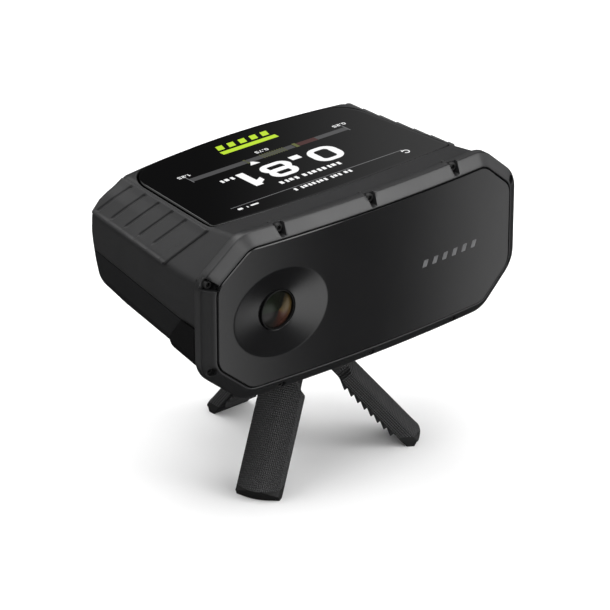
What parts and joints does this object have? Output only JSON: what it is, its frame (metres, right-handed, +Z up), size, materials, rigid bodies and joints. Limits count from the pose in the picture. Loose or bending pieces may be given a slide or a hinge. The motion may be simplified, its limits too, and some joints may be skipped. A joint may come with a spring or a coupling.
{
  "type": "launch monitor",
  "caption": "Optical shot-timing monitor: camera and top display in a bevelled black case, standing on a folding mini tripod with tilt and pan.",
  "frame": {"origin": "on the floor under the middle of the whole object, tripod open", "axes": "+Z up, +X across the front (viewer's right when facing the lens), +Y from front to back"},
  "size_m": [0.1672, 0.1008, 0.1323],
  "materials": {
    "bezel_plastic": "satin black moulded plastic",
    "window_plastic": "satin black polycarbonate",
    "housing_plastic": "fine grained black plastic",
    "lower_plastic": "fine grained black plastic",
    "grip_rubber": "matt black rubber",
    "foot_rubber": "matt black rubber",
    "display_glass": "black cover glass, gloss",
    "display_module": "liquid crystal module",
    "lens_glass": "coated lens glass",
    "black_steel": "black oxide steel",
    "steel": "plain steel",
    "black_aluminium": "black anodised",
    "brass": "plain brass",
    "board": "green circuit board",
    "chip": "black silicon package",
    "can": "tinned steel",
    "ceramic_patch": "fired ceramic",
    "cell_wrap": "shrink wrapped cell",
    "frame_plastic": "glass filled nylon",
    "leg_plastic": "meshed black nylon"
  },
  "bodies": {
    "tripod_hub": {"tripod_hub": "black_aluminium", "tilt_pin": "steel", "pin_front_left": "steel", "pin_front_right": "steel", "pin_rear": "steel"},
    "tilt_head": {"tilt_block": "black_aluminium", "mount_screw": "steel", "platform_pad": "foot_rubber"},
    "device": {"front_bezel": "bezel_plastic", "front_window": "window_plastic", "bezel_screws": "black_steel", "lens_ring": "black_aluminium", "front_lens": "lens_glass", "inner_lens": "lens_glass", "lens_barrel": "black_aluminium", "camera_board": "board", "image_sensor": "chip", "upper_housing": "housing_plastic", "lower_housing": "lower_plastic", "front_collar": "lower_plastic", "grip_right": "grip_rubber", "grip_left": "grip_rubber", "housing_screws": "steel", "cover_glass": "display_glass", "display_panel": "display_module", "mid_frame": "frame_plastic", "main_board": "board", "shield_cans": "can", "satellite_antenna": "ceramic_patch", "board_screws": "steel", "battery_cells": "cell_wrap", "battery_tray": "frame_plastic", "speaker": "frame_plastic", "rear_panel": "housing_plastic", "key_switch": "chip", "rear_board": "board", "charging_socket": "steel", "door_pin": "steel", "thread_insert": "brass"},
    "leg_front_left": {"leg_front_left": "leg_plastic", "foot_front_left": "foot_rubber"},
    "leg_front_right": {"leg_front_right": "leg_plastic", "foot_front_right": "foot_rubber"},
    "leg_rear": {"leg_rear": "leg_plastic", "foot_rear": "foot_rubber"},
    "power_key": {"power_key": "grip_rubber"},
    "socket_door": {"socket_door": "grip_rubber"}
  },
  "joints": [
    {"name": "head_tilt", "type": "hinge", "parent": "tripod_hub", "child": "tilt_head", "pos_m": [0, -0.0018, 0.0526], "axis": [1, 0, 0], "range_deg": [-15, 15]},
    {"name": "device_pan", "type": "hinge", "parent": "tilt_head", "child": "device", "pos_m": [0, -0.0018, 0.06], "axis": [0, 0, 1], "range_deg": [-180, 180]},
    {"name": "power_key_press", "type": "slide", "parent": "device", "child": "power_key", "axis": [0, -1, 0], "range_m": [0, 0.0009], "stiffness_N_per_m": 1500, "springref_m": -0.0004},
    {"name": "socket_door_hinge", "type": "hinge", "parent": "device", "child": "socket_door", "pos_m": [0.014, 0.0456, 0.09], "axis": [1, 0, 0], "range_deg": [0, 110]},
    {"name": "leg_fold_front_left", "type": "hinge", "parent": "tripod_hub", "child": "leg_front_left", "pos_m": [-0.00866, -0.0068, 0.045], "axis": [-0.5, 0.866, 0], "range_deg": [-40, 0]},
    {"name": "leg_fold_front_right", "type": "hinge", "parent": "tripod_hub", "child": "leg_front_right", "pos_m": [0.00866, -0.0068, 0.045], "axis": [-0.5, -0.866, 0], "range_deg": [-40, 0]},
    {"name": "leg_fold_rear", "type": "hinge", "parent": "tripod_hub", "child": "leg_rear", "pos_m": [0, 0.0082, 0.045], "axis": [1, 0, 0], "range_deg": [-40, 0]}
  ]
}
